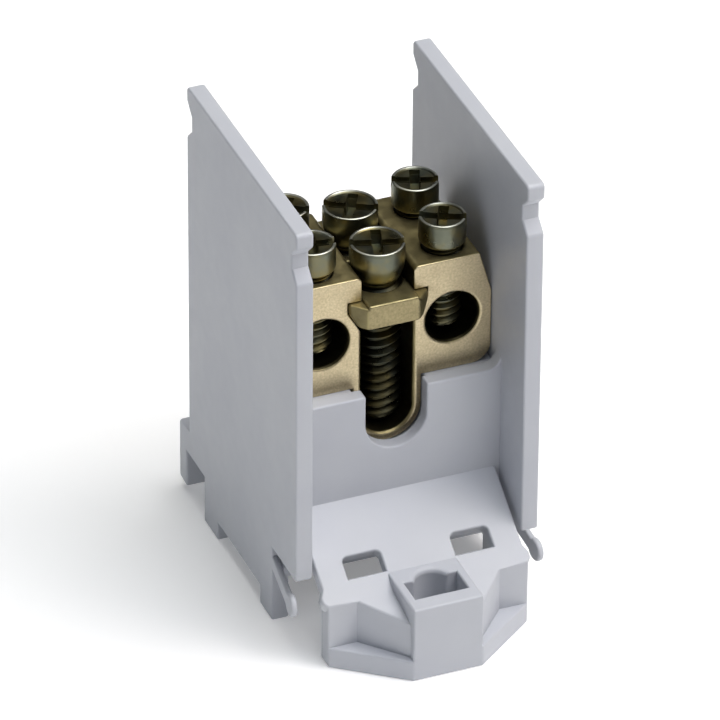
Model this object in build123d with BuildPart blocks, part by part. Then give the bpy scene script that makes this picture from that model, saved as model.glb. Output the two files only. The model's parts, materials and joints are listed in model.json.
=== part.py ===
from build123d import *
import os
from math import cos, radians, tan

os.makedirs("parts", exist_ok=True)

# A single-pole main line tap terminal on a rail-mounting base, in millimetres.
# X runs across the terminal, Y from the clip foot (front, -Y) to the fixed claw (rear, +Y), Z up.
# Heights are measured from the plane that the feet stand on, depths from the terminal's centre.

# Housing: two tall side walls with notches for the cover
width = 32.0
wall = 2.25
wall_depth = 36.4
wall_top = 61.0
wall_corner_radius = 0.6
front_skirt_z = 10.9
cover_notch_depth = 1.6
cover_notch_top = 59.0
cover_notch_flat_top = 57.4
cover_notch_flat_bottom = 55.4
cover_notch_bottom = 53.9

# Housing: legs that drop into the channel of the rail
rail_seat_z = 6.6
leg_front = 10.3
leg_rear = 13.0
leg_arch_front = 6.1
leg_arch_rear = 8.2
leg_arch_height = 2.6

# Housing: cross walls and the cradle for the terminal block
cross_wall_face = 11.1
cross_wall = 2.0
cross_wall_top = 30.7
cross_wall_corner = 1.8
cable_notch_half = 4.0
cable_notch_bottom = 22.55
cradle_wall = 1.8
block_side_gap = 0.1
block_trough_gap = 0.3

# Housing: fixed claw at the rear
claw_reach = 21.6
claw_thickness = 2.5
claw_bottom = 1.2
claw_top = 10.3
claw_edge_radius = 0.8
claw_lip = 1.7
claw_lip_height = 2.6
claw_lip_half_width = 11.0
rail_flange = 1.0
rail_flange_gap = 0.3

# Housing: clip foot at the front, hung on a springy ramp
ramp_top_z = 16.4
ramp_angle = 34.2
ramp_thickness = 1.8
foot_half_width = 13.2
foot_reach = 28.5
foot_wall_rear = 19.5
foot_wall_face = 22.0
foot_nose_half_width = 4.6
foot_recess_nose = 27.4
foot_recess_half_width = 9.4
foot_wing_drop = 1.3
foot_ledge_z = 2.9
foot_block_top = 10.5
ear_half_width = 13.7
ear_rear = 20.0
ear_side_rear = 20.8
ear_side_front = 21.5
window_inner = 4.6
window_outer = 9.6
window_top = 17.15
window_corner_radius = 0.7
hook_reach = 3.9
hook_height = 3.3
hook_edge = 0.7
window_overcut = 0.4
pocket_width = 6.9
pocket_front = 26.1
pocket_rear = 22.4
pocket_depth = 4.5
fixing_hole_radius = 2.15
fixing_hole_y = 23.0
fixing_hole_chamfer = 0.4

# Housing: spring fingers beside the clip foot
finger_width = 0.8
finger_height = 2.0
finger_root_z = 8.9
finger_reach = 7.0
finger_tip_z = 7.1
finger_bead_radius = 1.5
finger_splay = 4.9

# Terminal block, one extruded profile
block_length = 16.0
lobe_bottom = 30.1
lobe_top = 45.9
lobe_corner_radius = 2.5
lobe_chamfer_width = 1.6
lobe_chamfer_height = 5.7
slot_half = 3.4
slot_bottom = 22.7
trough_wall = 1.1
lip_radius = 0.7
groove_reach = 1.8
groove_top = 42.65
groove_side = 1.45
groove_slope_height = 3.2
tap_bore_share = 0.3317
tap_bore_z = 37.5
tap_bore_chamfer = 0.35

# Clamping bridges that slide in the block's dovetail grooves
bridge_proud = 2.2
bridge_middle_gap = 0.6
bridge_bottom = 39.65
bridge_top = 43.0
bridge_fit = 0.06
bridge_wing_setback = 1.9
bridge_edge_radius = 0.25

# Screws, with threads left plain at their outer radius
screw_pitch_share = 0.55
screw_fit = 0.05
main_thread_radius = 3.0
main_neck_radius = 2.5
main_neck_height = 0.4
main_head_radius = 3.45
main_head_height = 5.0
main_rim_height = 2.2
main_bowl_bulge = 0.7
main_bowl_rise = 0.45
main_screw_tip = 23.6
main_tip_radius = 1.9
main_tip_chamfer = 1.3
tap_screw_inset = 0.9
tap_head_overhang = 0.45
tap_head_height = 3.6
tap_head_rise = 0.7
tap_head_underside = 0.5
tap_screw_tip_gap = 0.9
tap_tip_chamfer = 0.9
head_rim_radius = 0.3
drive_slot_width = 1.3
drive_slot_depth = 0.9
drive_rim = 0.7
drive_cross_depth = 2.0
main_front_turn = -17
main_rear_turn = -30
tap_left_front_turn = -10
tap_left_rear_turn = -35
tap_right_front_turn = -27
tap_right_rear_turn = -20

# The origin lies under the middle of the outline, so the terminal's centre is behind it.
centre_y = (foot_reach - claw_reach) / 2
inner_half = width / 2 - wall
inside_width = 2 * inner_half + wall
lobe_half = inner_half - block_side_gap
slot_centre_z = slot_bottom + slot_half
lobe_width = lobe_half - slot_half
tap_bore_x = slot_half + lobe_width / 2
tap_bore_radius = tap_bore_share * lobe_width
tap_thread_radius = tap_bore_radius - tap_screw_inset
tap_tip_radius = tap_thread_radius - tap_tip_chamfer
tap_head_radius = tap_thread_radius + tap_head_overhang
tap_screw_tip = tap_bore_z - tap_bore_radius + tap_screw_tip_gap
screw_half_pitch = screw_pitch_share * block_length / 2
trough_half = slot_half + trough_wall
lip_top = rail_seat_z - rail_flange - rail_flange_gap
groove_side_bottom = groove_top - groove_side
groove_bottom = groove_side_bottom - groove_slope_height
main_head_bottom = bridge_top + main_neck_height
tap_head_bottom = lobe_top + tap_head_rise

# Rectangles that stand on their location or hang from it
upward = (Align.CENTER, Align.MIN)
downward = (Align.CENTER, Align.MAX)


def facing_front(y, x=0):
    return Plane(origin=(x, centre_y + y, 0), x_dir=(1, 0, 0), z_dir=(0, -1, 0))


def facing_side(x):
    return Plane(origin=(x, centre_y, 0), x_dir=(0, 1, 0), z_dir=(1, 0, 0))


def level(z):
    return Plane(origin=(0, centre_y, z), x_dir=(1, 0, 0), z_dir=(0, 0, 1))


def ramp_z(depth):
    return ramp_top_z - (depth - cross_wall_face) * tan(radians(ramp_angle))


def down_ramp(depth):
    return (depth - cross_wall_face) / cos(radians(ramp_angle))


def cover_notch(edge, inward):
    return [
        (edge, cover_notch_bottom),
        (edge + inward * cover_notch_depth, cover_notch_flat_bottom),
        (edge + inward * cover_notch_depth, cover_notch_flat_top),
        (edge, cover_notch_top),
    ]


# Housing: one grey moulding
with BuildPart() as housing:
    # Side walls with the legs below them
    front_edge = -wall_depth / 2
    rear_edge = wall_depth / 2
    for x in (-width / 2, inner_half):
        with BuildSketch(facing_side(x)):
            with BuildLine():
                Polyline(
                    (-leg_front, front_skirt_z),
                    (front_edge, front_skirt_z),
                    *cover_notch(front_edge, 1),
                    (front_edge, wall_top),
                    (rear_edge, wall_top),
                    *reversed(cover_notch(rear_edge, -1)),
                    (rear_edge, rail_seat_z),
                    (leg_rear, rail_seat_z),
                    (leg_rear, 0),
                    (leg_arch_rear, 0),
                    (leg_arch_rear, leg_arch_height),
                    (-leg_arch_front, leg_arch_height),
                    (-leg_arch_front, 0),
                    (-leg_front, 0),
                    close=True,
                )
            outline = make_face()
            fillet(outline.vertices().group_by(Axis.Y)[-1], wall_corner_radius)
        extrude(amount=wall)

    # Cross walls, each with the notch for the main cable
    for y in (cross_wall - cross_wall_face, cross_wall_face):
        with BuildSketch(facing_front(y)):
            wall_height = cross_wall_top - rail_seat_z
            corner_x = inner_half - cross_wall_corner
            corner_z = cross_wall_top + cross_wall_corner
            with Locations((0, rail_seat_z)):
                Rectangle(inside_width, wall_height, align=upward)
            with Locations((0, cross_wall_top)):
                Rectangle(inside_width, cross_wall_corner, align=upward)
                Rectangle(2 * corner_x, cross_wall_corner, align=upward, mode=Mode.SUBTRACT)
            with Locations((-corner_x, corner_z), (corner_x, corner_z)):
                Circle(cross_wall_corner, mode=Mode.SUBTRACT)
            with Locations((0, cable_notch_bottom + cable_notch_half)):
                Circle(cable_notch_half, mode=Mode.SUBTRACT)
                Rectangle(2 * cable_notch_half, wall_height, align=upward, mode=Mode.SUBTRACT)
        extrude(amount=cross_wall)

    # Cradle between the cross walls: two shelves under the lobes and a trough under the slot
    with BuildSketch(facing_front(cross_wall_face - cross_wall)):
        with Locations((0, lobe_bottom)):
            Rectangle(inside_width, cradle_wall, align=downward)
        trough_inner = trough_half + block_trough_gap
        trough_outer = trough_inner + cradle_wall
        trough_height = lobe_bottom - slot_centre_z
        with Locations((0, slot_centre_z)):
            Circle(trough_outer)
            Rectangle(2 * trough_outer, trough_outer, align=upward, mode=Mode.SUBTRACT)
            Rectangle(2 * trough_outer, trough_height, align=upward)
            Circle(trough_inner, mode=Mode.SUBTRACT)
            Rectangle(2 * trough_inner, trough_height, align=upward, mode=Mode.SUBTRACT)
    extrude(amount=2 * (cross_wall_face - cross_wall))

    # Rear web over the rail, with the fixed claw and the lip that hooks under the rail's edge
    claw_face = claw_reach - claw_thickness
    claw_middle = claw_reach - claw_thickness / 2
    web_start = cross_wall_face - cross_wall / 2
    with BuildSketch(facing_side(-width / 2)):
        with BuildLine():
            Polyline(
                (web_start, rail_seat_z),
                (claw_face, rail_seat_z),
                (claw_face, claw_bottom),
                (claw_reach, claw_bottom + rail_flange_gap),
                (claw_reach, claw_top),
                (web_start, claw_top),
                close=True,
            )
        claw_outline = make_face()
        fillet(claw_outline.vertices().group_by(Axis.Y)[-1].sort_by(Axis.X)[-1], claw_edge_radius)
    extrude(amount=width)
    with BuildSketch(facing_side(-claw_lip_half_width)):
        with BuildLine():
            Polyline(
                (claw_middle, lip_top),
                (claw_face - claw_lip, lip_top),
                (claw_face - claw_lip, lip_top - hook_edge),
                (claw_face, lip_top - claw_lip_height),
                (claw_middle, lip_top - claw_lip_height),
                close=True,
            )
        make_face()
    extrude(amount=2 * claw_lip_half_width)

    # Ramp that carries the clip foot
    ramp_drop = ramp_thickness / cos(radians(ramp_angle))
    with BuildSketch(facing_side(-foot_half_width)):
        with BuildLine():
            Polyline(
                (-web_start, ramp_z(web_start)),
                (-foot_wall_face, ramp_z(foot_wall_face)),
                (-foot_wall_face, ramp_z(foot_wall_face) - ramp_drop),
                (-web_start, ramp_z(web_start) - ramp_drop),
                close=True,
            )
        make_face()
    extrude(amount=2 * foot_half_width)

    # Foot: front wall with its two slanted recesses, its top following the ramp and then nearly level
    with BuildSketch(level(0)):
        with BuildLine():
            Polyline(
                (-foot_half_width, -foot_wall_rear),
                (-foot_half_width, -foot_wall_face),
                (-foot_recess_half_width, -foot_wall_face),
                (-foot_nose_half_width, -foot_recess_nose),
                (foot_nose_half_width, -foot_recess_nose),
                (foot_recess_half_width, -foot_wall_face),
                (foot_half_width, -foot_wall_face),
                (foot_half_width, -foot_wall_rear),
                close=True,
            )
        make_face()
    extrude(amount=ramp_z(foot_wall_rear))
    with BuildSketch(facing_side(-foot_half_width)):
        with BuildLine():
            Polyline(
                (-foot_wall_rear, ramp_z(foot_wall_rear)),
                (-foot_wall_face, ramp_z(foot_wall_face)),
                (-foot_reach, ramp_z(foot_wall_face) - foot_wing_drop),
                (-foot_reach, ramp_top_z),
                (-foot_wall_rear, ramp_top_z),
                close=True,
            )
        make_face()
    extrude(amount=2 * foot_half_width, mode=Mode.SUBTRACT)

    # Foot: ledge round the front, and the raised block in the middle
    with BuildSketch(level(0)):
        with BuildLine():
            Polyline(
                (-foot_half_width, -foot_wall_rear),
                (-foot_half_width, -foot_wall_face),
                (-foot_nose_half_width, -foot_reach),
                (foot_nose_half_width, -foot_reach),
                (foot_half_width, -foot_wall_face),
                (foot_half_width, -foot_wall_rear),
                close=True,
            )
        make_face()
    extrude(amount=foot_ledge_z)
    with BuildSketch(level(0)):
        with Locations((0, -foot_wall_rear)):
            Rectangle(2 * foot_nose_half_width, foot_reach - foot_wall_rear, align=downward)
    extrude(amount=foot_block_top)

    # Ears at the ramp's sides, windows through it, and the hooks below that catch the rail's front edge
    ramp_face = Plane(
        origin=(0, centre_y - cross_wall_face, ramp_top_z),
        x_dir=(1, 0, 0),
        z_dir=Vector(0, 0, 1).rotate(Axis.X, ramp_angle),
    )
    window_start = down_ramp(window_top)
    window_end = down_ramp(foot_wall_rear)
    window_width = window_outer - window_inner
    for side in (-1, 1):
        with BuildSketch(ramp_face):
            with BuildLine():
                Polyline(
                    (side * window_outer, -down_ramp(ear_rear)),
                    (side * foot_half_width, -down_ramp(ear_rear)),
                    (side * ear_half_width, -down_ramp(ear_side_rear)),
                    (side * ear_half_width, -down_ramp(ear_side_front)),
                    (side * foot_half_width, -down_ramp(foot_wall_face)),
                    (side * window_outer, -down_ramp(foot_wall_face)),
                    close=True,
                )
            make_face()
        extrude(amount=-ramp_thickness)
        with BuildSketch(ramp_face):
            with Locations((side * (window_inner + window_outer) / 2, -window_start)):
                opening = Rectangle(window_width, window_end - window_start, align=downward)
            fillet(opening.vertices().group_by(Axis.Y)[-1], window_corner_radius)
        extrude(amount=-ramp_thickness - window_overcut, mode=Mode.SUBTRACT)
        hook_side = window_inner if side > 0 else -window_outer
        with BuildSketch(facing_side(hook_side)):
            with BuildLine():
                Polyline(
                    (-foot_wall_rear - hook_edge, lip_top),
                    (hook_reach - foot_wall_rear, lip_top),
                    (hook_reach - foot_wall_rear, lip_top - hook_edge),
                    (-foot_wall_rear, lip_top - hook_height),
                    (-foot_wall_rear - hook_edge, lip_top - hook_height),
                    close=True,
                )
            make_face()
        extrude(amount=window_width)

    # Pocket for a screwdriver and the fixing hole through the foot
    with BuildSketch(level(foot_block_top)):
        with Locations((0, -pocket_rear)):
            Rectangle(pocket_width, pocket_front - pocket_rear, align=downward)
    extrude(amount=-pocket_depth, mode=Mode.SUBTRACT)
    with BuildSketch(level(foot_block_top)):
        with Locations((0, -fixing_hole_y)):
            Circle(fixing_hole_radius)
    extrude(amount=-foot_block_top, mode=Mode.SUBTRACT)
    with BuildSketch(level(foot_block_top)):
        with Locations((0, -fixing_hole_y)):
            Circle(fixing_hole_radius + fixing_hole_chamfer)
    extrude(amount=-fixing_hole_chamfer, taper=45, mode=Mode.SUBTRACT)

    # Spring fingers, splayed a little from the legs
    for side in (-1, 1):
        finger_face = Plane(
            origin=(side * width / 2, centre_y - leg_front, 0),
            x_dir=Vector(0, 1, 0).rotate(Axis.Z, side * finger_splay),
            z_dir=Vector(1, 0, 0).rotate(Axis.Z, side * finger_splay),
        )
        with BuildSketch(finger_face):
            with Locations((finger_height / 2, finger_root_z), (-finger_reach, finger_tip_z)):
                Circle(finger_height / 2)
            make_hull()
            with Locations((-finger_reach, finger_tip_z)):
                Circle(finger_bead_radius)
        extrude(amount=-side * finger_width)

housing.part.label = "housing"

# Terminal block: an extruded brass profile, drilled for the tap cables and the tap screws
block_rear = facing_front(block_length / 2)
with BuildPart() as terminal_block:
    corner_x = lobe_half - lobe_corner_radius
    with BuildSketch(block_rear):
        with BuildLine():
            Polyline((slot_half, slot_centre_z), (slot_half, groove_bottom))
            Polyline(
                (slot_half, groove_bottom),
                (slot_half + groove_reach, groove_side_bottom),
                (slot_half + groove_reach, groove_top),
                (slot_half, groove_top),
                (slot_half, lobe_top - lip_radius),
            )
            CenterArc((slot_half + lip_radius, lobe_top - lip_radius), lip_radius, 90, 90)
            Polyline(
                (slot_half + lip_radius, lobe_top),
                (lobe_half - lobe_chamfer_width, lobe_top),
                (lobe_half, lobe_top - lobe_chamfer_height),
                (lobe_half, lobe_bottom + lobe_corner_radius),
            )
            CenterArc((corner_x, lobe_bottom + lobe_corner_radius), lobe_corner_radius, 270, 90)
            Polyline(
                (corner_x, lobe_bottom),
                (trough_half, lobe_bottom),
                (trough_half, slot_centre_z),
            )
            CenterArc((0, slot_centre_z), trough_half, 270, 90)
            CenterArc((0, slot_centre_z), slot_half, 270, 90)
            mirror(about=Plane.YZ)
        make_face()
    extrude(amount=block_length)

    # Tap cable bores from face to face, with a small chamfer at each mouth
    with BuildSketch(block_rear):
        with Locations((-tap_bore_x, tap_bore_z), (tap_bore_x, tap_bore_z)):
            Circle(tap_bore_radius)
    extrude(amount=block_length, mode=Mode.SUBTRACT)
    mouths = terminal_block.edges().filter_by(GeomType.CIRCLE).filter_by(
        lambda edge: abs(edge.radius - tap_bore_radius) < 0.001
    )
    chamfer(mouths, tap_bore_chamfer)

    # Tapped holes for the tap screws
    with BuildSketch(level(lobe_top)):
        with GridLocations(2 * tap_bore_x, 2 * screw_half_pitch, 2, 2):
            Circle(tap_thread_radius + screw_fit)
    extrude(amount=tap_bore_z - lobe_top, mode=Mode.SUBTRACT)

terminal_block.part.label = "terminal_block"

# Front bridge: a dovetail slider with a tapped hole for its main screw
with BuildPart() as front_bridge:
    wing_half = slot_half + groove_reach - bridge_fit
    neck_half = slot_half - bridge_fit
    wing_top = groove_top - bridge_fit
    wing_side_bottom = groove_side_bottom + bridge_fit
    slope = groove_reach / groove_slope_height
    foot_half = wing_half - (wing_side_bottom - bridge_bottom) * slope
    bridge_front = -block_length / 2 - bridge_proud
    bridge_rear = -bridge_middle_gap / 2
    with BuildSketch(facing_front(bridge_rear)):
        with BuildLine():
            Polyline(
                (0, bridge_bottom),
                (foot_half, bridge_bottom),
                (wing_half, wing_side_bottom),
                (wing_half, wing_top),
                (neck_half, wing_top),
                (neck_half, bridge_top),
                (0, bridge_top),
            )
            mirror(about=Plane.YZ)
        make_face()
    extrude(amount=bridge_rear - bridge_front)

    # Wings cut back at the front end
    with BuildSketch(level(bridge_bottom)):
        for side in (-1, 1):
            with BuildLine():
                Polyline(
                    (side * neck_half, bridge_front),
                    (side * (wing_half + bridge_fit), bridge_front + bridge_wing_setback),
                    (side * (wing_half + bridge_fit), bridge_front),
                    close=True,
                )
            make_face()
    extrude(amount=bridge_top - bridge_bottom, mode=Mode.SUBTRACT)
    nose = front_bridge.faces().sort_by(Axis.Y)[0]
    fillet(nose.edges().filter_by(Axis.X), bridge_edge_radius)

    with BuildSketch(level(bridge_bottom)):
        with Locations((0, -screw_half_pitch)):
            Circle(main_thread_radius + screw_fit)
    extrude(amount=bridge_top - bridge_bottom, mode=Mode.SUBTRACT)

front_bridge.part.label = "front_bridge"

# Rear bridge: the same piece turned to face the other way
with BuildPart() as rear_bridge:
    mirror(front_bridge.part, about=facing_front(0))

rear_bridge.part.label = "rear_bridge"


def drive_cutter(x, y, top_z, turn, head_radius):
    """A slot through the rim of a head, and a deeper cross that stays inside the rim."""
    head_face = Plane(origin=(x, centre_y + y, top_z), z_dir=(0, 0, 1)).rotated((0, 0, turn))
    with BuildPart() as cutter:
        with BuildSketch(head_face):
            Rectangle(2 * head_radius + drive_slot_width, drive_slot_width)
        extrude(amount=-drive_slot_depth)
        with BuildSketch(head_face):
            for angle in (0, 90):
                Rectangle(2 * (head_radius - drive_rim), drive_slot_width, rotation=angle)
        extrude(amount=-drive_cross_depth)
    return cutter.part


def main_screw(y, turn):
    """Clamping screw with a bowl-shaped head that fits between the lobes."""
    head_top = main_head_bottom + main_head_height
    bowl_height = main_head_height - main_rim_height
    bulge_radius = main_neck_radius + main_bowl_bulge * (main_head_radius - main_neck_radius)
    bulge_z = main_head_bottom + main_bowl_rise * bowl_height
    rim_z = head_top - head_rim_radius
    with BuildPart() as screw:
        with BuildSketch(facing_front(y)):
            with BuildLine():
                Polyline(
                    (0, head_top),
                    (0, main_screw_tip),
                    (main_tip_radius, main_screw_tip),
                    (main_thread_radius, main_screw_tip + main_tip_chamfer),
                    (main_thread_radius, bridge_top),
                    (main_neck_radius, bridge_top),
                    (main_neck_radius, main_head_bottom),
                )
                ThreePointArc(
                    (main_neck_radius, main_head_bottom),
                    (bulge_radius, bulge_z),
                    (main_head_radius, main_head_bottom + bowl_height),
                )
                Line((main_head_radius, main_head_bottom + bowl_height), (main_head_radius, rim_z))
                CenterArc((main_head_radius - head_rim_radius, rim_z), head_rim_radius, 0, 90)
                Line((main_head_radius - head_rim_radius, head_top), (0, head_top))
            make_face()
        revolve(axis=Axis((0, centre_y + y, 0), (0, 0, 1)))
        add(drive_cutter(0, y, head_top, turn, main_head_radius), mode=Mode.SUBTRACT)
    return screw.part


def tap_screw(x, y, turn):
    """Tap terminal screw with a round head that stands clear of the lobe."""
    head_top = tap_head_bottom + tap_head_height
    rim_z = head_top - head_rim_radius
    with BuildPart() as screw:
        with BuildSketch(facing_front(y, x)):
            with BuildLine():
                Polyline(
                    (0, head_top),
                    (0, tap_screw_tip),
                    (tap_tip_radius, tap_screw_tip),
                    (tap_thread_radius, tap_screw_tip + tap_tip_chamfer),
                    (tap_thread_radius, tap_head_bottom),
                    (tap_head_radius - tap_head_underside, tap_head_bottom),
                    (tap_head_radius, tap_head_bottom + tap_head_underside),
                    (tap_head_radius, rim_z),
                )
                CenterArc((tap_head_radius - head_rim_radius, rim_z), head_rim_radius, 0, 90)
                Line((tap_head_radius - head_rim_radius, head_top), (0, head_top))
            make_face()
        revolve(axis=Axis((x, centre_y + y, 0), (0, 0, 1)))
        add(drive_cutter(x, y, head_top, turn, tap_head_radius), mode=Mode.SUBTRACT)
    return screw.part


# The screws, each left at the turn that the last tightening gave it
main_screw_front = main_screw(-screw_half_pitch, main_front_turn)
main_screw_rear = main_screw(screw_half_pitch, main_rear_turn)
tap_screw_left_front = tap_screw(-tap_bore_x, -screw_half_pitch, tap_left_front_turn)
tap_screw_left_rear = tap_screw(-tap_bore_x, screw_half_pitch, tap_left_rear_turn)
tap_screw_right_front = tap_screw(tap_bore_x, -screw_half_pitch, tap_right_front_turn)
tap_screw_right_rear = tap_screw(tap_bore_x, screw_half_pitch, tap_right_rear_turn)
main_screw_front.label = "main_screw_front"
main_screw_rear.label = "main_screw_rear"
tap_screw_left_front.label = "tap_screw_left_front"
tap_screw_left_rear.label = "tap_screw_left_rear"
tap_screw_right_front.label = "tap_screw_right_front"
tap_screw_right_rear.label = "tap_screw_right_rear"

export_step(housing.part, "parts/housing.step")
export_step(terminal_block.part, "parts/terminal_block.step")
export_step(front_bridge.part, "parts/front_bridge.step")
export_step(rear_bridge.part, "parts/rear_bridge.step")
export_step(main_screw_front, "parts/main_screw_front.step")
export_step(main_screw_rear, "parts/main_screw_rear.step")
export_step(tap_screw_left_front, "parts/tap_screw_left_front.step")
export_step(tap_screw_left_rear, "parts/tap_screw_left_rear.step")
export_step(tap_screw_right_front, "parts/tap_screw_right_front.step")
export_step(tap_screw_right_rear, "parts/tap_screw_right_rear.step")
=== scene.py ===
import json
import math

import bmesh
import bpy
from mathutils import Matrix, Vector

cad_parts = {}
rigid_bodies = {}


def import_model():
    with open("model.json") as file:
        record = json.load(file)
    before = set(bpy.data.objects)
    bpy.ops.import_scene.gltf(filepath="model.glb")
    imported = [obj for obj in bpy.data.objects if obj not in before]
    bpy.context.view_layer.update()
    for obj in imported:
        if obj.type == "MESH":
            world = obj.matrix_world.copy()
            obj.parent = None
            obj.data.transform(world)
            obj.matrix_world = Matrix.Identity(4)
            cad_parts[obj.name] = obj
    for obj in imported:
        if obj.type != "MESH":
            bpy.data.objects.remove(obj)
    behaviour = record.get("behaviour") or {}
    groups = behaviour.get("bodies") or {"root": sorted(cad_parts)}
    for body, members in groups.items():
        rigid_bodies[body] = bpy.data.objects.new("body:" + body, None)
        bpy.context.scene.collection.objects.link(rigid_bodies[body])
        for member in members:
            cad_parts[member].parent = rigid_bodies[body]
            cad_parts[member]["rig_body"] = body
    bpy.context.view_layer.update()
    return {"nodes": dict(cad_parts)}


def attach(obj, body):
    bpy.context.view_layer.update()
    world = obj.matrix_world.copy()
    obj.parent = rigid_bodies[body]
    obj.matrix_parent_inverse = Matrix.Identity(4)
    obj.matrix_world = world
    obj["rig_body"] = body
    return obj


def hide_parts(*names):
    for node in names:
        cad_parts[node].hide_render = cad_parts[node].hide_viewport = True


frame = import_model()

scene = bpy.context.scene
MM = 0.001

# Lengths are in millimetres, and angles are written in degrees, unless a comment says otherwise

# Camera: the photograph's viewing angle, through a long lens
CAMERA_TARGET = (-1.51, 0.59, 30.46)
CAMERA_AZIMUTH = -22.17
CAMERA_ELEVATION = 33.66
CAMERA_ROLL = 0.42
CAMERA_DISTANCE = 978.8
CAMERA_LENS = 400
CAMERA_SENSOR = 36
CAMERA_NEAR = 50
CAMERA_FAR = 20000

# Lights: energy in watts
LIGHT_TARGET = (0, 0, 30)
LIGHTS = {
    "key_light": {
        "azimuth": 35, "elevation": 66, "distance": 900, "size": 800,
        "energy": 6.6, "colour": (0.93, 0.95, 1.0),
    },
    "high_light": {
        "azimuth": 60, "elevation": 50, "distance": 900, "size": 500,
        "energy": 2.7, "colour": (1.0, 0.91, 0.85),
    },
    "top_light": {
        "azimuth": 150, "elevation": 80, "distance": 900, "size": 600,
        "energy": 3.3, "colour": (1.0, 0.99, 0.93),
    },
    "left_light": {
        "azimuth": -75, "elevation": 25, "distance": 1000, "size": 600,
        "energy": 0.5, "colour": (0.66, 0.84, 1.0),
    },
}
WORLD_COLOUR = (0.93, 0.96, 1.0, 1.0)
WORLD_STRENGTH = 0.02

# Rounding of the sharp edges: its size, its steps, and how steep an edge has to be
PLASTIC_EDGE = 0.28
BRASS_EDGE = 0.18
BRIDGE_EDGE = 0.32
STEEL_EDGE = 0.08
PLASTIC_STEPS = 3
BRASS_STEPS = 4
STEEL_STEPS = 2
ROUND_PROFILE = 0.5
SHARP_ANGLE = math.radians(28)
HEAD_EDGE_ANGLE = math.radians(42)

# Faces that turn less than a crease are shaded as one, and flatter ones are made into one
CREASE_ANGLE = math.radians(33)
FLAT_ANGLE = math.radians(0.4)

# Points nearer than these are made into one
WELD = 0.0005
THREAD_WELD = 0.002
THREAD_SLIVER = 0.001

# In square metres: keeps a face of no area from weighing nothing
LEAST_AREA = 1e-14

# Places on the terminal
CENTRE_Y = 3.45
SCREW_Y = 4.4
TAP_X = 8.525
TAP_BORE_Z = 37.5
TAP_BORE_RADIUS = 3.4
SLOT_WALL = 3.4
SLOT_CENTRE_Z = 26.1
BLOCK_HALF = 8.0
BRIDGE_HALF = 10.2
MAIN_TOP = 48.4
MAIN_NECK_Z = 43.4
TAP_TOP = 50.2
TAP_HEAD_Z = 46.6

# Noise: most of its values lie between the low and the high one
NOISE_LOW = 0.3
NOISE_HIGH = 0.7
NOISE_ROUGHNESS = 0.5

# Below, a noise is its scale per millimetre and its detail, and a bump its strength and its depth

# Floor
FLOOR_HALF = 3000
FLOOR_GLOW = 0.22
FLOOR_DARK = (0.90, 0.90, 0.90, 1)
FLOOR_LIGHT = (0.92, 0.92, 0.92, 1)
FLOOR_CLOUD = (0.02, 2.0)
FLOOR_ROUGHNESS = 0.9

# Plastic
PLASTIC_DARK = (0.470, 0.485, 0.530, 1)
PLASTIC_LIGHT = (0.505, 0.520, 0.555, 1)
PLASTIC_CLOUD = (0.09, 3.0)
PLASTIC_SCUFFS = (0.5, 4.0)
PLASTIC_GRAIN = (4.0, 2.0)
PLASTIC_ROUGHNESS = (0.40, 0.50)
PLASTIC_BUMP = (0.10, 0.03)

# Brass: its sawn ends and its drawn skin, how much each of them varies, and where one turns sawn
BLOCK_SAWN = (0.60, 0.51, 0.33)
BLOCK_DRAWN = (0.35, 0.295, 0.15)
BRIDGE_SAWN = (0.33, 0.28, 0.155)
BRIDGE_DRAWN = (0.32, 0.275, 0.14)
SAWN_RANGE = (0.82, 1.13)
DRAWN_RANGE = (0.62, 1.28)
SAWN_BAND = (0.12, 0.04)
BRASS_CLOUD = (0.25, 4.0)
BRASS_GRAIN = (3.5, 3.0)
BRASS_WEAR = (0.8, 3.0)
BRASS_STREAKS = (3.0, 3.0)
STREAK_STRETCH = (1, 0.06, 1)
BRASS_ROUGHNESS = (0.38, 0.52)
BRASS_BUMP = (0.2, 0.04)
STREAK_BUMP = (0.12, 0.04)

# Painted shade in the drillings: the share of the colour that is left, and where it fades past the
# wall
BORE_PAINTED_SHADE = 0.10
BORE_PAINTED_SHADE_BAND = (0.18, 0.24)
SLOT_PAINTED_SHADE = 0.25
SLOT_PAINTED_SHADE_BAND = (0.01, 0.06)

# Steel: the plating's two tones
STEEL_COOL = (0.15, 0.16, 0.12, 1)
STEEL_OLIVE = (0.225, 0.19, 0.085, 1)
STEEL_TONE_RANGE = (0.35, 0.65)
STEEL_PATCHES = (0.35, 2.0)
STEEL_CLOUD = (0.6, 3.0)
STEEL_GRAIN = (2.0, 3.0)
STEEL_ROUGHNESS = (0.26, 0.42)
STEEL_BUMP = (0.1, 0.03)

# Painted shade on the shanks: the share of the steel's colour that is left, and the height it
# fades over
MAIN_SHANK_PAINTED_SHADE = 0.25
TAP_SHANK_PAINTED_SHADE = 0.6
SHANK_SHADE_FADE = 0.4

# Rims lightened, partly by real wear and partly as a painted highlight, and the faces sunk inside
# them darkened with painted shade, in bands of depth below the head's top
WORN_RIM_HIGHLIGHT_COLOUR = (0.60, 0.61, 0.53, 1)
WORN_RIM_HIGHLIGHT_MIX = 0.9
WORN_RIM_HIGHLIGHT_BAND = (0.12, 0.02)
SUNK_PAINTED_SHADE = 0.85
SUNK_TOP_BAND = (0.20, 0.14)
SUNK_FOOT_BAND = (0.50, 0.36)

# Threads: half the crest, the root's start and the points drawn, as shares of the pitch
CREST_HALF = 0.06
ROOT_START = 0.40
THREAD_PHASES = (0.0, 0.1, 0.27, 0.44, 0.56, 0.73, 0.9)
SPARE_TURNS = 3
SCREW_STEPS = 72

# Screw heads: how deep their edges are rounded, the rim, the raised ring and the sunk face
MAIN_HEAD_RADIUS = 3.45
TAP_HEAD_RADIUS = 2.95
HEAD_EDGE_DEPTH = 2.6
RIM_ROUND = 0.18
RIM_STEPS = 4
RING_FLAT = 0.12
RING_SLOPE = 0.22
RING_SUNK = 0.22
FACE_DISH = 0.05
FACE_DISH_SHARE = 0.25

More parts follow.
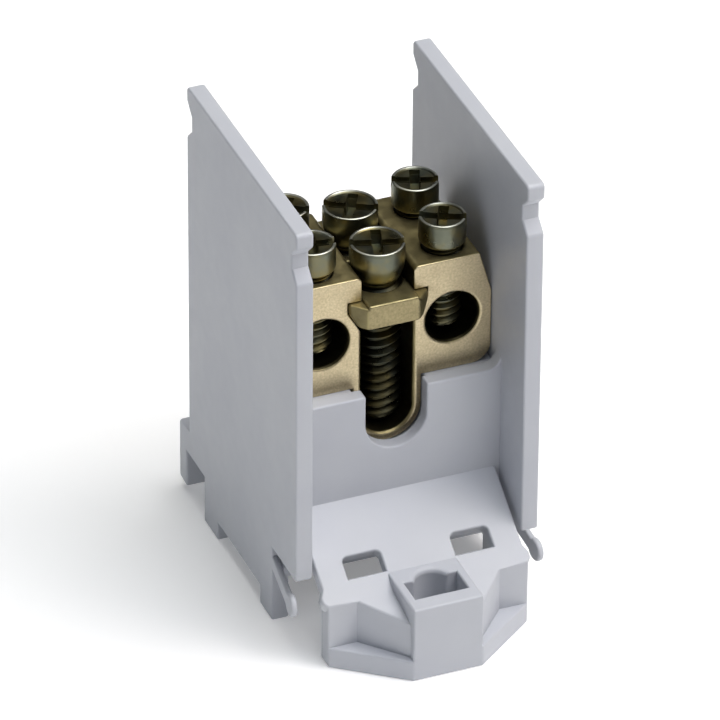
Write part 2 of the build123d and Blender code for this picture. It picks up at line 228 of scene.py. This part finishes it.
# Drives: a slot through the rim, and a deeper tapered cross that stays inside it
SLOT_HALF = 0.65
SLOT_DEPTH = 0.9
CROSS_DEPTH = 2.0
DRIVE_RIM = 0.7
DRIVE_TAPER = 0.35
DRIVE_NARROWING = 0.4
DRIVE_STEP = 0.02
DRIVE_OVERRUN = 0.5


def aim(item, target, distance, azimuth, elevation, roll=0):
    """Adds a camera or light to the scene, at a distance from the target that it faces."""
    a = math.radians(azimuth)
    e = math.radians(elevation)
    back = Vector((math.sin(a) * math.cos(e), -math.cos(a) * math.cos(e), math.sin(e)))
    level = Vector((0, 0, 1)).cross(back).normalized()
    upright = back.cross(level)
    turn = math.radians(roll)
    right = level * math.cos(turn) + upright * math.sin(turn)
    up = upright * math.cos(turn) - level * math.sin(turn)
    place = Matrix.Translation((Vector(target) + back * distance) * MM)
    item.matrix_world = place @ Matrix((right, up, back)).transposed().to_4x4()
    scene.collection.objects.link(item)


def make_camera():
    data = bpy.data.cameras.new("camera")
    data.lens = CAMERA_LENS
    data.sensor_width = CAMERA_SENSOR
    data.clip_start = CAMERA_NEAR * MM
    data.clip_end = CAMERA_FAR * MM
    camera = bpy.data.objects.new("camera", data)
    aim(camera, CAMERA_TARGET, CAMERA_DISTANCE, CAMERA_AZIMUTH, CAMERA_ELEVATION, CAMERA_ROLL)
    scene.camera = camera


def make_light(name, azimuth, elevation, distance, size, energy, colour):
    data = bpy.data.lights.new(name, "AREA")
    data.shape = "SQUARE"
    data.size = size * MM
    data.energy = energy
    data.color = colour
    aim(bpy.data.objects.new(name, data), LIGHT_TARGET, distance, azimuth, elevation)


def make_world():
    world = bpy.data.worlds.new("studio")
    world.use_nodes = True
    background = world.node_tree.nodes["Background"]
    background.inputs["Color"].default_value = WORLD_COLOUR
    background.inputs["Strength"].default_value = WORLD_STRENGTH
    scene.world = world
    scene.view_settings.view_transform = "Standard"


def shade(colour, factor):
    return tuple(channel * factor for channel in colour) + (1,)


class Shader:
    """A small helper that strings shader nodes together."""

    def __init__(self, name):
        self.material = bpy.data.materials.new(name)
        self.material.use_nodes = True
        self.tree = self.material.node_tree
        self.principled = self.tree.nodes["Principled BSDF"]

    def node(self, kind, inputs=(), **settings):
        made = self.tree.nodes.new(kind)
        for key, value in settings.items():
            setattr(made, key, value)
        for key, value in dict(inputs).items():
            self.feed(made.inputs[key], value)
        return made

    def feed(self, socket, value):
        if isinstance(value, bpy.types.NodeSocket):
            self.tree.links.new(value, socket)
        else:
            socket.default_value = value

    def surface(self, **inputs):
        """Sets the surface's sockets, named with underscores for spaces."""
        for key, value in inputs.items():
            self.feed(self.principled.inputs[key.replace("_", " ")], value)

    def place(self, scale=(1, 1, 1)):
        """Object coordinates in millimetres, stretched by scale."""
        coords = self.node("ShaderNodeTexCoord")
        mapping = self.node("ShaderNodeMapping", {"Vector": coords.outputs["Object"]})
        mapping.inputs["Scale"].default_value = tuple(factor / MM for factor in scale)
        return mapping.outputs["Vector"]

    def axes(self):
        """The X, Y and Z object coordinates in millimetres."""
        return self.node("ShaderNodeSeparateXYZ", {"Vector": self.place()}).outputs

    def noise(self, vector, pattern):
        scale, detail = pattern
        inputs = {
            "Vector": vector, "Scale": scale, "Detail": detail, "Roughness": NOISE_ROUGHNESS,
        }
        return self.node("ShaderNodeTexNoise", inputs).outputs["Fac"]

    def spread(self, value, low, high, start=NOISE_LOW, end=NOISE_HIGH):
        """A value that turns from low to high as another runs from start to end."""
        inputs = {
            "Value": value, "From Min": start, "From Max": end, "To Min": low, "To Max": high,
        }
        return self.node("ShaderNodeMapRange", inputs).outputs["Result"]

    def tones(self, value, dark, light, start=NOISE_LOW, end=NOISE_HIGH):
        """A colour that turns from dark to light as a value runs from start to end."""
        made = self.node("ShaderNodeValToRGB", {"Fac": value})
        first, last = made.color_ramp.elements
        first.position, first.color = start, dark
        last.position, last.color = end, light
        return made.outputs["Color"]

    def math(self, operation, first, second=0.0):
        made = self.node("ShaderNodeMath", operation=operation)
        self.feed(made.inputs[0], first)
        self.feed(made.inputs[1], second)
        return made.outputs["Value"]

    def reach(self, first, second):
        """The length of a vector with these two parts."""
        squares = [self.math("MULTIPLY", part, part) for part in (first, second)]
        return self.math("SQRT", self.math("ADD", *squares))

    def mix(self, factor, first, second):
        made = self.node("ShaderNodeMix", data_type="RGBA")
        self.feed(made.inputs["Factor"], factor)
        self.feed(made.inputs["A"], first)
        self.feed(made.inputs["B"], second)
        return made.outputs["Result"]

    def darken(self, colour, factor):
        """Multiplies a colour by a factor from 0 to 1."""
        return self.mix(factor, (0, 0, 0, 1), colour)

    def bump(self, height, size, below=None):
        strength, depth = size
        inputs = {"Height": height, "Strength": strength, "Distance": depth * MM}
        made = self.node("ShaderNodeBump", inputs)
        if below is not None:
            self.feed(made.inputs["Normal"], below)
        return made.outputs["Normal"]


def plastic_material():
    """Satin grey moulding: faint clouding, a fine moulded grain and soft scuffs."""
    shader = Shader("housing_plastic")
    place = shader.place()
    cloud = shader.noise(place, PLASTIC_CLOUD)
    scuffs = shader.noise(place, PLASTIC_SCUFFS)
    grain = shader.noise(place, PLASTIC_GRAIN)
    shader.surface(
        Base_Color=shader.tones(cloud, PLASTIC_DARK, PLASTIC_LIGHT),
        Roughness=shader.spread(scuffs, *PLASTIC_ROUGHNESS),
        Normal=shader.bump(grain, PLASTIC_BUMP),
    )
    return shader.material


def painted_drilling_shade(shader):
    """Low inside the tap bores and the slot, where painted shade darkens the brass, and 1
    elsewhere.
    """
    x, _, z = shader.axes()
    across = shader.math("SUBTRACT", shader.math("ABSOLUTE", x), TAP_X)
    above = shader.math("SUBTRACT", z, TAP_BORE_Z)
    start, end = (TAP_BORE_RADIUS + margin for margin in BORE_PAINTED_SHADE_BAND)
    bore = shader.spread(shader.reach(across, above), BORE_PAINTED_SHADE, 1.0, start, end)
    below = shader.math("MINIMUM", shader.math("SUBTRACT", z, SLOT_CENTRE_Z), 0.0)
    start, end = (SLOT_WALL + margin for margin in SLOT_PAINTED_SHADE_BAND)
    slot = shader.spread(shader.reach(x, below), SLOT_PAINTED_SHADE, 1.0, start, end)
    return shader.math("MULTIPLY", bore, slot)


def brass_material(name, sawn, drawn, half_length, shade_drillings):
    """Brass with pale sawn ends, a darker drawn skin and, if asked, painted shade in its
    drillings.
    """
    shader = Shader(name)
    place = shader.place()
    _, y, _ = shader.axes()
    cloud = shader.noise(place, BRASS_CLOUD)
    grain = shader.noise(place, BRASS_GRAIN)
    wear = shader.noise(place, BRASS_WEAR)
    streaks = shader.noise(shader.place(STREAK_STRETCH), BRASS_STREAKS)
    from_middle = shader.math("ABSOLUTE", shader.math("SUBTRACT", y, CENTRE_Y))
    start, end = (half_length - depth for depth in SAWN_BAND)
    near_end = shader.spread(from_middle, 0.0, 1.0, start, end)
    skin = shader.tones(cloud, *(shade(drawn, factor) for factor in DRAWN_RANGE))
    face = shader.tones(grain, *(shade(sawn, factor) for factor in SAWN_RANGE))
    colour = shader.mix(near_end, skin, face)
    # Painted shade darkens the brass inside the tap bores and the slot
    if shade_drillings:
        colour = shader.darken(colour, painted_drilling_shade(shader))
    shader.surface(
        Base_Color=colour,
        Metallic=1.0,
        Roughness=shader.spread(wear, *BRASS_ROUGHNESS),
        Normal=shader.bump(grain, BRASS_BUMP, shader.bump(streaks, STREAK_BUMP)),
    )
    return shader.material


def steel_material(name, shank_top, shank_shade, head_top_z):
    """Zinc plating with an olive cast, a rim lightened by wear and a painted highlight, and
    painted shade on the sunk face and on the shank below the head.
    """
    shader = Shader(name)
    place = shader.place()
    _, _, z = shader.axes()

    def band(low, high, depths):
        start, end = (head_top_z - depth for depth in depths)
        return shader.spread(z, low, high, start, end)

    patches = shader.noise(place, STEEL_PATCHES)
    cloud = shader.noise(place, STEEL_CLOUD)
    grain = shader.noise(place, STEEL_GRAIN)
    plating = shader.tones(patches, STEEL_COOL, STEEL_OLIVE, *STEEL_TONE_RANGE)
    # Painted shade darkens the shank below the head
    shank_painted_shade = shader.spread(z, shank_shade, 1.0, shank_top - SHANK_SHADE_FADE, shank_top)
    # Painted shade darkens the face sunk inside the rim and the top of the drive
    above = band(SUNK_PAINTED_SHADE, 1.0, SUNK_TOP_BAND)
    below = band(1.0, SUNK_PAINTED_SHADE, SUNK_FOOT_BAND)
    sunk = shader.math("MAXIMUM", above, below)
    # A painted highlight, partly real wear, lightens the rim at the head's top
    worn_rim_highlight = band(0.0, WORN_RIM_HIGHLIGHT_MIX, WORN_RIM_HIGHLIGHT_BAND)
    # The plating under the painted shade of the shank and of the sunk face
    shaded_plating = shader.darken(plating, shader.math("MULTIPLY", shank_painted_shade, sunk))
    shader.surface(
        Base_Color=shader.mix(worn_rim_highlight, shaded_plating, WORN_RIM_HIGHLIGHT_COLOUR),
        Metallic=1.0,
        Roughness=shader.spread(cloud, *STEEL_ROUGHNESS),
        Normal=shader.bump(grain, STEEL_BUMP),
    )
    return shader.material


def floor_material():
    shader = Shader("floor_white")
    colour = shader.tones(shader.noise(shader.place(), FLOOR_CLOUD), FLOOR_DARK, FLOOR_LIGHT)
    shader.surface(
        Base_Color=colour,
        Roughness=FLOOR_ROUGHNESS,
        Emission_Color=colour,
        Emission_Strength=FLOOR_GLOW,
    )
    return shader.material


def make_floor():
    half = FLOOR_HALF * MM
    mesh = bpy.data.meshes.new("floor")
    corners = [(-half, -half, 0), (half, -half, 0), (half, half, 0), (-half, half, 0)]
    mesh.from_pydata(corners, [], [(0, 1, 2, 3)])
    mesh.materials.append(floor_material())
    floor = bpy.data.objects.new("floor", mesh)
    scene.collection.objects.link(floor)


def settle_normals(mesh):
    """Shades each corner by the faces round it that turn less than a crease from its own."""
    faces = mesh.polygons
    around = [[] for _ in mesh.vertices]
    for face in faces:
        for vertex in face.vertices:
            around[vertex].append((face.normal.copy(), face.area + LEAST_AREA))
    limit = math.cos(CREASE_ANGLE)
    normals = []
    for face in faces:
        own = face.normal.copy()
        for vertex in face.vertices:
            total = Vector()
            for normal, area in around[vertex]:
                if normal.dot(own) > limit:
                    total += normal * area
            normals.append(total.normalized())
    mesh.normals_split_custom_set(normals)


def write_mesh(work, mesh, smooth=False):
    """Writes a bmesh to a mesh with its faces turned outwards, shaded smoothly if asked."""
    bmesh.ops.recalc_face_normals(work, faces=work.faces)
    if smooth:
        for face in work.faces:
            face.smooth = True
        for edge in work.edges:
            edge.smooth = edge.calc_face_angle(0) < CREASE_ANGLE
    work.to_mesh(mesh)
    work.free()
    if smooth:
        settle_normals(mesh)
    return mesh


def round_edges(work, edges, size, steps, **options):
    bmesh.ops.bevel(
        work, geom=edges, offset=size * MM, offset_type="OFFSET", segments=steps,
        profile=ROUND_PROFILE, affect="EDGES", **options,
    )


def body_of(node):
    return frame["nodes"][node]["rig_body"]


def rounded_copy(node, name, edge, steps, material):
    """A copy of a CAD node whose sharp edges are rounded off, in place of the node."""
    work = bmesh.new()
    work.from_mesh(frame["nodes"][node].data)
    bmesh.ops.remove_doubles(work, verts=work.verts, dist=WELD * MM)
    bmesh.ops.dissolve_limit(work, angle_limit=FLAT_ANGLE, verts=work.verts, edges=work.edges)
    sharp = [
        e for e in work.edges
        if e.is_manifold and e.is_convex and e.calc_face_angle(0) > SHARP_ANGLE
    ]
    round_edges(work, sharp, edge, steps, clamp_overlap=False, miter_outer="ARC")
    mesh = write_mesh(work, bpy.data.meshes.new(name), smooth=True)
    mesh.materials.append(material)
    piece = bpy.data.objects.new(name, mesh)
    scene.collection.objects.link(piece)
    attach(piece, body_of(node))
    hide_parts(node)


def thread_radius(phase, outer, depth):
    """Radius of a thread at a phase of its pitch, with the crest in the middle."""
    off_crest = abs(phase % 1 - 0.5)
    share = (off_crest - CREST_HALF) / (ROOT_START - CREST_HALF)
    return outer - depth * min(max(share, 0), 1)


def screw_column(turn, shape):
    """One meridian of a screw, from the tip's centre to the head's centre, as (radius, height)."""
    low = shape["tip_z"]
    high = shape["thread_top"]
    pitch = shape["pitch"]
    column = [(shape["tip_radius"], low)]
    lead = pitch * turn
    for whole in range(-1, int((high - low) / pitch) + SPARE_TURNS):
        for phase in THREAD_PHASES:
            height = min(max(low + (whole + phase) * pitch + lead, low), high)
            there = (height - low - lead) / pitch
            radius = thread_radius(there, shape["thread_radius"], shape["thread_depth"])
            chamfer = shape["tip_radius"] + (height - low) * shape["tip_slope"]
            column.append((min(radius, chamfer), height))
    return column + shape["head"]


def screw_mesh(name, x, y, shape):
    """The whole screw as one closed surface, with a real helical thread."""
    work = bmesh.new()
    middle = Vector((x, y, 0))
    columns = []
    for step in range(SCREW_STEPS + 1):
        turn = step / SCREW_STEPS
        angle = 2 * math.pi * turn
        side = Vector((math.cos(angle), math.sin(angle), 0))
        columns.append([
            work.verts.new((middle + side * r + Vector((0, 0, z))) * MM)
            for r, z in screw_column(turn, shape)
        ])
    for left, right in zip(columns, columns[1:]):
        for low in range(len(left) - 1):
            work.faces.new((left[low], right[low], right[low + 1], left[low + 1]))
    bmesh.ops.remove_doubles(work, verts=work.verts, dist=THREAD_WELD * MM)
    bmesh.ops.dissolve_degenerate(work, edges=work.edges, dist=THREAD_SLIVER * MM)
    bmesh.ops.holes_fill(work, edges=[e for e in work.edges if e.is_boundary], sides=0)
    return write_mesh(work, bpy.data.meshes.new(name))


def head_top(radius, top):
    """Rounded rim, a thin raised ring and the slightly sunk face inside it."""
    inner = radius - RIM_ROUND
    rim = []
    for step in range(RIM_STEPS + 1):
        angle = math.radians(90 * step / RIM_STEPS)
        height = top - RIM_ROUND + RIM_ROUND * math.sin(angle)
        rim.append((inner + RIM_ROUND * math.cos(angle), height))
    return rim + [
        (inner - RING_FLAT, top),
        (inner - RING_FLAT - RING_SLOPE, top - RING_SUNK),
        (FACE_DISH_SHARE * radius, top - RING_SUNK - FACE_DISH),
    ]


def cross_outline(arm_x, arm_y, half_width):
    """The twelve corners of an upright cross, anticlockwise from its right arm."""
    corners = []
    for quarter in range(4):
        spin = Matrix.Rotation(math.radians(90 * quarter), 3, "Z")
        arm = arm_y if quarter % 2 else arm_x
        for x, y in ((arm, -half_width), (arm, half_width), (half_width, half_width)):
            corners.append(spin @ Vector((x, y, 0)))
    return corners


def drive_cutter(name, x, y, top, turn, radius):
    """A slot through the rim of a head, and a deeper tapered cross that stays inside the rim."""
    work = bmesh.new()
    spin = Matrix.Rotation(math.radians(turn), 3, "Z")
    slot_reach = radius + DRIVE_OVERRUN
    cross_reach = radius - DRIVE_RIM
    foot_reach = cross_reach - DRIVE_TAPER
    foot_half = SLOT_HALF - DRIVE_TAPER * DRIVE_NARROWING
    rings = []
    for arm_x, arm_y, half_width, height in (
        (slot_reach, cross_reach, SLOT_HALF, top + DRIVE_OVERRUN),
        (slot_reach, cross_reach, SLOT_HALF, top - SLOT_DEPTH),
        (cross_reach, cross_reach - DRIVE_STEP, SLOT_HALF - DRIVE_STEP, top - SLOT_DEPTH),
        (foot_reach, foot_reach, foot_half, top - CROSS_DEPTH),
    ):
        middle = Vector((x, y, height))
        corners = cross_outline(arm_x, arm_y, half_width)
        rings.append([work.verts.new((spin @ corner + middle) * MM) for corner in corners])
    work.faces.new(rings[0])
    work.faces.new(list(reversed(rings[-1])))
    for upper, lower in zip(rings, rings[1:]):
        for k in range(len(upper)):
            after = (k + 1) % len(upper)
            work.faces.new((upper[k], lower[k], lower[after], upper[after]))
    cutter = bpy.data.objects.new(name, write_mesh(work, bpy.data.meshes.new(name)))
    scene.collection.objects.link(cutter)
    return cutter


def round_head(mesh, above):
    """Rounds the sharp edges of a screw above this height, and shades the whole screw."""
    work = bmesh.new()
    work.from_mesh(mesh)
    bmesh.ops.remove_doubles(work, verts=work.verts, dist=WELD * MM)
    sharp = []
    for edge in work.edges:
        low = min(vertex.co.z for vertex in edge.verts)
        joined = len(edge.link_faces) == 2
        if low > above * MM and joined and edge.calc_face_angle(0) > HEAD_EDGE_ANGLE:
            sharp.append(edge)
    round_edges(work, sharp, STEEL_EDGE, STEEL_STEPS, clamp_overlap=True)
    bmesh.ops.dissolve_degenerate(work, edges=work.edges, dist=WELD * MM)
    write_mesh(work, mesh, smooth=True)


def make_screw(node, x, y, shape, turn):
    """A threaded screw with its drive turned to an angle, in place of its CAD node."""
    name = node + "_threaded"
    piece = bpy.data.objects.new(name, screw_mesh(name, x, y, shape))
    scene.collection.objects.link(piece)
    cutter = drive_cutter(node + "_cutter", x, y, shape["top"], turn, shape["head_radius"])
    cut = piece.modifiers.new("cut", "BOOLEAN")
    cut.operation = "DIFFERENCE"
    cut.solver = "MANIFOLD"
    cut.object = cutter
    ready = piece.evaluated_get(bpy.context.evaluated_depsgraph_get())
    mesh = bpy.data.meshes.new_from_object(ready)
    piece.modifiers.clear()
    piece.data = mesh
    mesh.name = name
    bpy.data.objects.remove(cutter)
    round_head(mesh, shape["top"] - HEAD_EDGE_DEPTH)
    mesh.materials.clear()
    mesh.materials.append(shape["material"])
    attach(piece, body_of(node))
    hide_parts(node)


make_camera()
for light_name, light_values in LIGHTS.items():
    make_light(light_name, **light_values)
make_world()

plastic = plastic_material()
brass = brass_material("brass_block", BLOCK_SAWN, BLOCK_DRAWN, BLOCK_HALF, True)
bridge_brass = brass_material("brass_bridge", BRIDGE_SAWN, BRIDGE_DRAWN, BRIDGE_HALF, False)
main_steel = steel_material("main_screw_steel", MAIN_NECK_Z, MAIN_SHANK_PAINTED_SHADE, MAIN_TOP)
tap_steel = steel_material("tap_screw_steel", TAP_HEAD_Z, TAP_SHANK_PAINTED_SHADE, TAP_TOP)
make_floor()

rounded_copy(
    "housing", "housing_moulding", PLASTIC_EDGE, PLASTIC_STEPS, plastic
)
rounded_copy("terminal_block", "terminal_block_extrusion", BRASS_EDGE, BRASS_STEPS, brass)
for bridge in ("front_bridge", "rear_bridge"):
    rounded_copy(bridge, bridge + "_slider", BRIDGE_EDGE, BRASS_STEPS, bridge_brass)

# A head is a profile of (radius, height) from the neck up to its side, with head_top above it
main_shape = {
    "material": main_steel,
    "tip_z": 23.6,
    "tip_radius": 1.9,
    "tip_slope": 1.1 / 1.3,
    "thread_radius": 3.0,
    "thread_depth": 0.66,
    "thread_top": 43.0,
    "pitch": 1.235,
    "top": MAIN_TOP,
    "head_radius": MAIN_HEAD_RADIUS,
    "head": [
        (2.5, 43.0), (2.5, MAIN_NECK_Z), (2.75, 43.62), (2.98, 44.1), (3.165, 44.66),
        (3.3, 45.15), (3.4, 45.7), (MAIN_HEAD_RADIUS, 46.2),
    ] + head_top(MAIN_HEAD_RADIUS, MAIN_TOP),
}
tap_shape = {
    "material": tap_steel,
    "tip_z": 35.0,
    "tip_radius": 1.6,
    "tip_slope": 1.0,
    "thread_radius": 2.5,
    "thread_depth": 0.55,
    "thread_top": TAP_HEAD_Z,
    "pitch": 0.99,
    "top": TAP_TOP,
    "head_radius": TAP_HEAD_RADIUS,
    "head": [
        (2.45, TAP_HEAD_Z), (2.7, 46.66), (2.87, 46.85), (TAP_HEAD_RADIUS, 47.1),
    ] + head_top(TAP_HEAD_RADIUS, TAP_TOP),
}

# Each screw's slot is turned as the photograph shows it
make_screw("main_screw_front", 0, CENTRE_Y - SCREW_Y, main_shape, -17)
make_screw("main_screw_rear", 0, CENTRE_Y + SCREW_Y, main_shape, -30)
make_screw("tap_screw_left_front", -TAP_X, CENTRE_Y - SCREW_Y, tap_shape, -10)
make_screw("tap_screw_left_rear", -TAP_X, CENTRE_Y + SCREW_Y, tap_shape, -35)
make_screw("tap_screw_right_front", TAP_X, CENTRE_Y - SCREW_Y, tap_shape, -27)
make_screw("tap_screw_right_rear", TAP_X, CENTRE_Y + SCREW_Y, tap_shape, -20)
